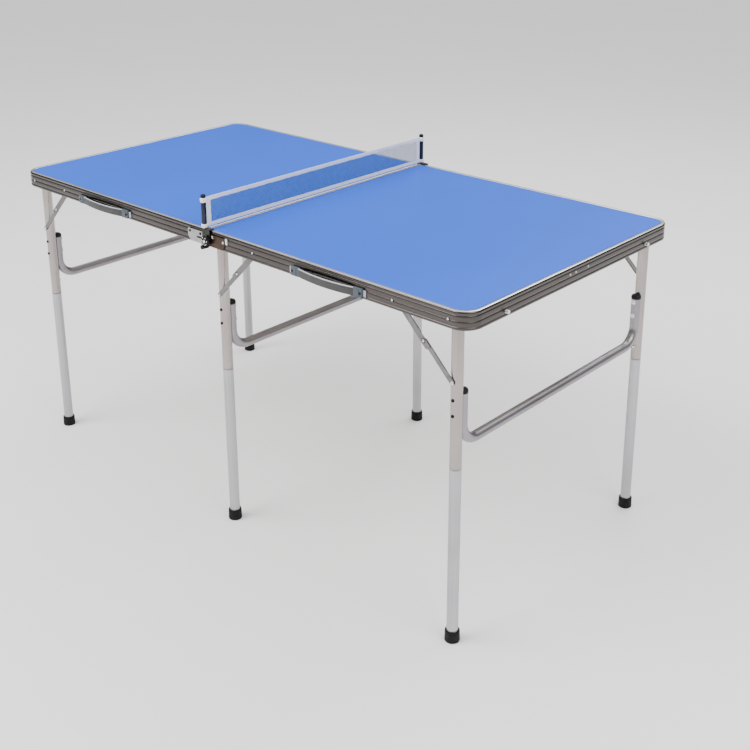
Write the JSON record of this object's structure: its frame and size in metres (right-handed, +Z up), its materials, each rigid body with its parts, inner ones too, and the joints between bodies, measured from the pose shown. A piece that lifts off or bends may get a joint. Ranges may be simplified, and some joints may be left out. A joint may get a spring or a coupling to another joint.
{
  "type": "folding ping pong table",
  "caption": "Small folding ping pong table: blue top hinged at the middle, ridged aluminium edge rails, tubular legs with braces and crossbars, and a removable net.",
  "frame": {"origin": "on the floor, under the middle of the top", "axes": "+X along the table's length, +Y across it away from the handles, +Z up"},
  "size_m": [1.536, 0.7916, 0.8425],
  "materials": {
    "rail_aluminium": "anodised extrusion with fine lengthwise ridges",
    "tube_aluminium": "satin drawn tube",
    "zinc_steel": "zinc plated",
    "top_blue": "satin blue laminate on board",
    "black_plastic": "moulded",
    "grey_plastic": "moulded",
    "net_mesh": "open knitted mesh with white tapes"
  },
  "bodies": {
    "right_half": {"rail_frame_right": "rail_aluminium", "top_panel_right": "top_blue", "batten_right": "tube_aluminium", "handle_right": "grey_plastic", "hinge_plate_right_near": "zinc_steel", "hinge_plate_right_far": "zinc_steel", "net_bracket_near": "zinc_steel", "net_bracket_far": "zinc_steel"},
    "left_half": {"rail_frame_left": "rail_aluminium", "top_panel_left": "top_blue", "batten_left": "tube_aluminium", "handle_left": "grey_plastic", "hinge_plate_left_near": "zinc_steel", "hinge_plate_left_far": "zinc_steel"},
    "net_set": {"net": "net_mesh", "net_post_near": "zinc_steel", "net_post_far": "zinc_steel"},
    "latch_hook_near": {"latch_hook_near": "zinc_steel"},
    "bracket_knob_near": {"bracket_knob_near": "black_plastic"},
    "latch_hook_far": {"latch_hook_far": "zinc_steel"},
    "bracket_knob_far": {"bracket_knob_far": "black_plastic"},
    "legs_left": {"crossbar_left": "tube_aluminium", "leg_upper_left_near": "tube_aluminium", "leg_upper_left_far": "tube_aluminium"},
    "lower_leg_left_near": {"leg_lower_left_near": "tube_aluminium", "foot_left_near": "black_plastic"},
    "button_left_near": {"snap_button_left_near": "zinc_steel"},
    "brace_upper_left_near": {"brace_upper_left_near": "zinc_steel"},
    "brace_lower_left_near": {"brace_lower_left_near": "zinc_steel"},
    "lower_leg_left_far": {"leg_lower_left_far": "tube_aluminium", "foot_left_far": "black_plastic"},
    "button_left_far": {"snap_button_left_far": "zinc_steel"},
    "brace_upper_left_far": {"brace_upper_left_far": "zinc_steel"},
    "brace_lower_left_far": {"brace_lower_left_far": "zinc_steel"},
    "legs_middle": {"crossbar_middle": "tube_aluminium", "leg_upper_middle_near": "tube_aluminium", "leg_upper_middle_far": "tube_aluminium"},
    "lower_leg_middle_near": {"leg_lower_middle_near": "tube_aluminium", "foot_middle_near": "black_plastic"},
    "button_middle_near": {"snap_button_middle_near": "zinc_steel"},
    "brace_upper_middle_near": {"brace_upper_middle_near": "zinc_steel"},
    "brace_lower_middle_near": {"brace_lower_middle_near": "zinc_steel"},
    "lower_leg_middle_far": {"leg_lower_middle_far": "tube_aluminium", "foot_middle_far": "black_plastic"},
    "button_middle_far": {"snap_button_middle_far": "zinc_steel"},
    "brace_upper_middle_far": {"brace_upper_middle_far": "zinc_steel"},
    "brace_lower_middle_far": {"brace_lower_middle_far": "zinc_steel"},
    "legs_right": {"crossbar_right": "tube_aluminium", "leg_upper_right_near": "tube_aluminium", "leg_upper_right_far": "tube_aluminium"},
    "lower_leg_right_near": {"leg_lower_right_near": "tube_aluminium", "foot_right_near": "black_plastic"},
    "button_right_near": {"snap_button_right_near": "zinc_steel"},
    "brace_upper_right_near": {"brace_upper_right_near": "zinc_steel"},
    "brace_lower_right_near": {"brace_lower_right_near": "zinc_steel"},
    "lower_leg_right_far": {"leg_lower_right_far": "tube_aluminium", "foot_right_far": "black_plastic"},
    "button_right_far": {"snap_button_right_far": "zinc_steel"},
    "brace_upper_right_far": {"brace_upper_right_far": "zinc_steel"},
    "brace_lower_right_far": {"brace_lower_right_far": "zinc_steel"}
  },
  "joints": [
    {"name": "top_fold", "type": "hinge", "parent": "right_half", "child": "left_half", "pos_m": [0, 0, 0.7185], "axis": [0, 1, 0], "range_deg": [-70, 0]},
    {"name": "latch_near_swing", "type": "hinge", "parent": "left_half", "child": "latch_hook_near", "pos_m": [-0.7618, -0.264, 0.733], "axis": [1, 0, 0], "range_deg": [-60, 60]},
    {"name": "bracket_knob_near_turn", "type": "hinge", "parent": "right_half", "child": "bracket_knob_near", "pos_m": [0.013, -0.3849, 0.737], "axis": [0, 1, 0], "continuous": true},
    {"name": "latch_far_swing", "type": "hinge", "parent": "left_half", "child": "latch_hook_far", "pos_m": [-0.7618, 0.264, 0.733], "axis": [1, 0, 0], "range_deg": [-60, 60]},
    {"name": "bracket_knob_far_turn", "type": "hinge", "parent": "right_half", "child": "bracket_knob_far", "pos_m": [0.013, 0.3849, 0.737], "axis": [0, 1, 0], "continuous": true},
    {"name": "net_lift", "type": "slide", "parent": "right_half", "child": "net_set", "axis": [0, 0, 1], "range_m": [0, 0.06]},
    {"name": "legs_left_fold", "type": "hinge", "parent": "left_half", "child": "legs_left", "pos_m": [-0.71, 0, 0.7395], "axis": [0, -1, 0], "range_deg": [0, 60]},
    {"name": "leg_left_near_unplug", "type": "slide", "parent": "legs_left", "child": "lower_leg_left_near", "axis": [0, 0, 1], "range_m": [-0.07, 0]},
    {"name": "button_left_near_press", "type": "slide", "parent": "legs_left", "child": "button_left_near", "axis": [0, -1, 0], "range_m": [0, 0.0028], "stiffness_N_per_m": 300},
    {"name": "brace_upper_left_near_turn", "type": "hinge", "parent": "left_half", "child": "brace_upper_left_near", "pos_m": [-0.5695, -0.3641, 0.7395], "axis": [0, -1, 0], "range_deg": [-38.6, 0]},
    {"name": "brace_lower_left_near_turn", "type": "hinge", "parent": "legs_left", "child": "brace_lower_left_near", "pos_m": [-0.71, -0.3608, 0.599], "axis": [0, -1, 0], "range_deg": [0, 38.6]},
    {"name": "leg_left_far_unplug", "type": "slide", "parent": "legs_left", "child": "lower_leg_left_far", "axis": [0, 0, 1], "range_m": [-0.07, 0]},
    {"name": "button_left_far_press", "type": "slide", "parent": "legs_left", "child": "button_left_far", "axis": [0, 1, 0], "range_m": [0, 0.0028], "stiffness_N_per_m": 300},
    {"name": "brace_upper_left_far_turn", "type": "hinge", "parent": "left_half", "child": "brace_upper_left_far", "pos_m": [-0.5695, 0.3641, 0.7395], "axis": [0, -1, 0], "range_deg": [-38.6, 0]},
    {"name": "brace_lower_left_far_turn", "type": "hinge", "parent": "legs_left", "child": "brace_lower_left_far", "pos_m": [-0.71, 0.3608, 0.599], "axis": [0, -1, 0], "range_deg": [0, 38.6]},
    {"name": "legs_middle_fold", "type": "hinge", "parent": "right_half", "child": "legs_middle", "pos_m": [0.0195, 0, 0.7395], "axis": [0, 1, 0], "range_deg": [-60, 0]},
    {"name": "leg_middle_near_unplug", "type": "slide", "parent": "legs_middle", "child": "lower_leg_middle_near", "axis": [0, 0, -1], "range_m": [0, 0.07]},
    {"name": "button_middle_near_press", "type": "slide", "parent": "legs_middle", "child": "button_middle_near", "axis": [0, -1, 0], "range_m": [0, 0.0028], "stiffness_N_per_m": 300},
    {"name": "brace_upper_middle_near_turn", "type": "hinge", "parent": "right_half", "child": "brace_upper_middle_near", "pos_m": [0.16, -0.3641, 0.7395], "axis": [0, 1, 0], "range_deg": [0, 38.6]},
    {"name": "brace_lower_middle_near_turn", "type": "hinge", "parent": "legs_middle", "child": "brace_lower_middle_near", "pos_m": [0.0195, -0.3608, 0.599], "axis": [0, 1, 0], "range_deg": [-38.6, 0]},
    {"name": "leg_middle_far_unplug", "type": "slide", "parent": "legs_middle", "child": "lower_leg_middle_far", "axis": [0, 0, -1], "range_m": [0, 0.07]},
    {"name": "button_middle_far_press", "type": "slide", "parent": "legs_middle", "child": "button_middle_far", "axis": [0, 1, 0], "range_m": [0, 0.0028], "stiffness_N_per_m": 300},
    {"name": "brace_upper_middle_far_turn", "type": "hinge", "parent": "right_half", "child": "brace_upper_middle_far", "pos_m": [0.16, 0.3641, 0.7395], "axis": [0, 1, 0], "range_deg": [0, 38.6]},
    {"name": "brace_lower_middle_far_turn", "type": "hinge", "parent": "legs_middle", "child": "brace_lower_middle_far", "pos_m": [0.0195, 0.3608, 0.599], "axis": [0, 1, 0], "range_deg": [-38.6, 0]},
    {"name": "legs_right_fold", "type": "hinge", "parent": "right_half", "child": "legs_right", "pos_m": [0.71, 0, 0.7395], "axis": [0, 1, 0], "range_deg": [0, 60]},
    {"name": "leg_right_near_unplug", "type": "slide", "parent": "legs_right", "child": "lower_leg_right_near", "axis": [0, 0, 1], "range_m": [-0.07, 0]},
    {"name": "button_right_near_press", "type": "slide", "parent": "legs_right", "child": "button_right_near", "axis": [0, -1, 0], "range_m": [0, 0.0028], "stiffness_N_per_m": 300},
    {"name": "brace_upper_right_near_turn", "type": "hinge", "parent": "right_half", "child": "brace_upper_right_near", "pos_m": [0.5695, -0.3641, 0.7395], "axis": [0, 1, 0], "range_deg": [-38.6, 0]},
    {"name": "brace_lower_right_near_turn", "type": "hinge", "parent": "legs_right", "child": "brace_lower_right_near", "pos_m": [0.71, -0.3608, 0.599], "axis": [0, 1, 0], "range_deg": [0, 38.6]},
    {"name": "leg_right_far_unplug", "type": "slide", "parent": "legs_right", "child": "lower_leg_right_far", "axis": [0, 0, 1], "range_m": [-0.07, 0]},
    {"name": "button_right_far_press", "type": "slide", "parent": "legs_right", "child": "button_right_far", "axis": [0, 1, 0], "range_m": [0, 0.0028], "stiffness_N_per_m": 300},
    {"name": "brace_upper_right_far_turn", "type": "hinge", "parent": "right_half", "child": "brace_upper_right_far", "pos_m": [0.5695, 0.3641, 0.7395], "axis": [0, 1, 0], "range_deg": [-38.6, 0]},
    {"name": "brace_lower_right_far_turn", "type": "hinge", "parent": "legs_right", "child": "brace_lower_right_far", "pos_m": [0.71, 0.3608, 0.599], "axis": [0, 1, 0], "range_deg": [0, 38.6]}
  ],
  "couplings": [
    {"joint": "brace_upper_left_near_turn", "follows": "legs_left_fold", "ratio": -0.6422},
    {"joint": "brace_lower_left_near_turn", "follows": "legs_left_fold", "ratio": 0.6422},
    {"joint": "brace_upper_left_far_turn", "follows": "legs_left_fold", "ratio": -0.6422},
    {"joint": "brace_lower_left_far_turn", "follows": "legs_left_fold", "ratio": 0.6422},
    {"joint": "brace_upper_middle_near_turn", "follows": "legs_middle_fold", "ratio": -0.6422},
    {"joint": "brace_lower_middle_near_turn", "follows": "legs_middle_fold", "ratio": 0.6422},
    {"joint": "brace_upper_middle_far_turn", "follows": "legs_middle_fold", "ratio": -0.6422},
    {"joint": "brace_lower_middle_far_turn", "follows": "legs_middle_fold", "ratio": 0.6422},
    {"joint": "brace_upper_right_near_turn", "follows": "legs_right_fold", "ratio": -0.6422},
    {"joint": "brace_lower_right_near_turn", "follows": "legs_right_fold", "ratio": 0.6422},
    {"joint": "brace_upper_right_far_turn", "follows": "legs_right_fold", "ratio": -0.6422},
    {"joint": "brace_lower_right_far_turn", "follows": "legs_right_fold", "ratio": 0.6422}
  ]
}
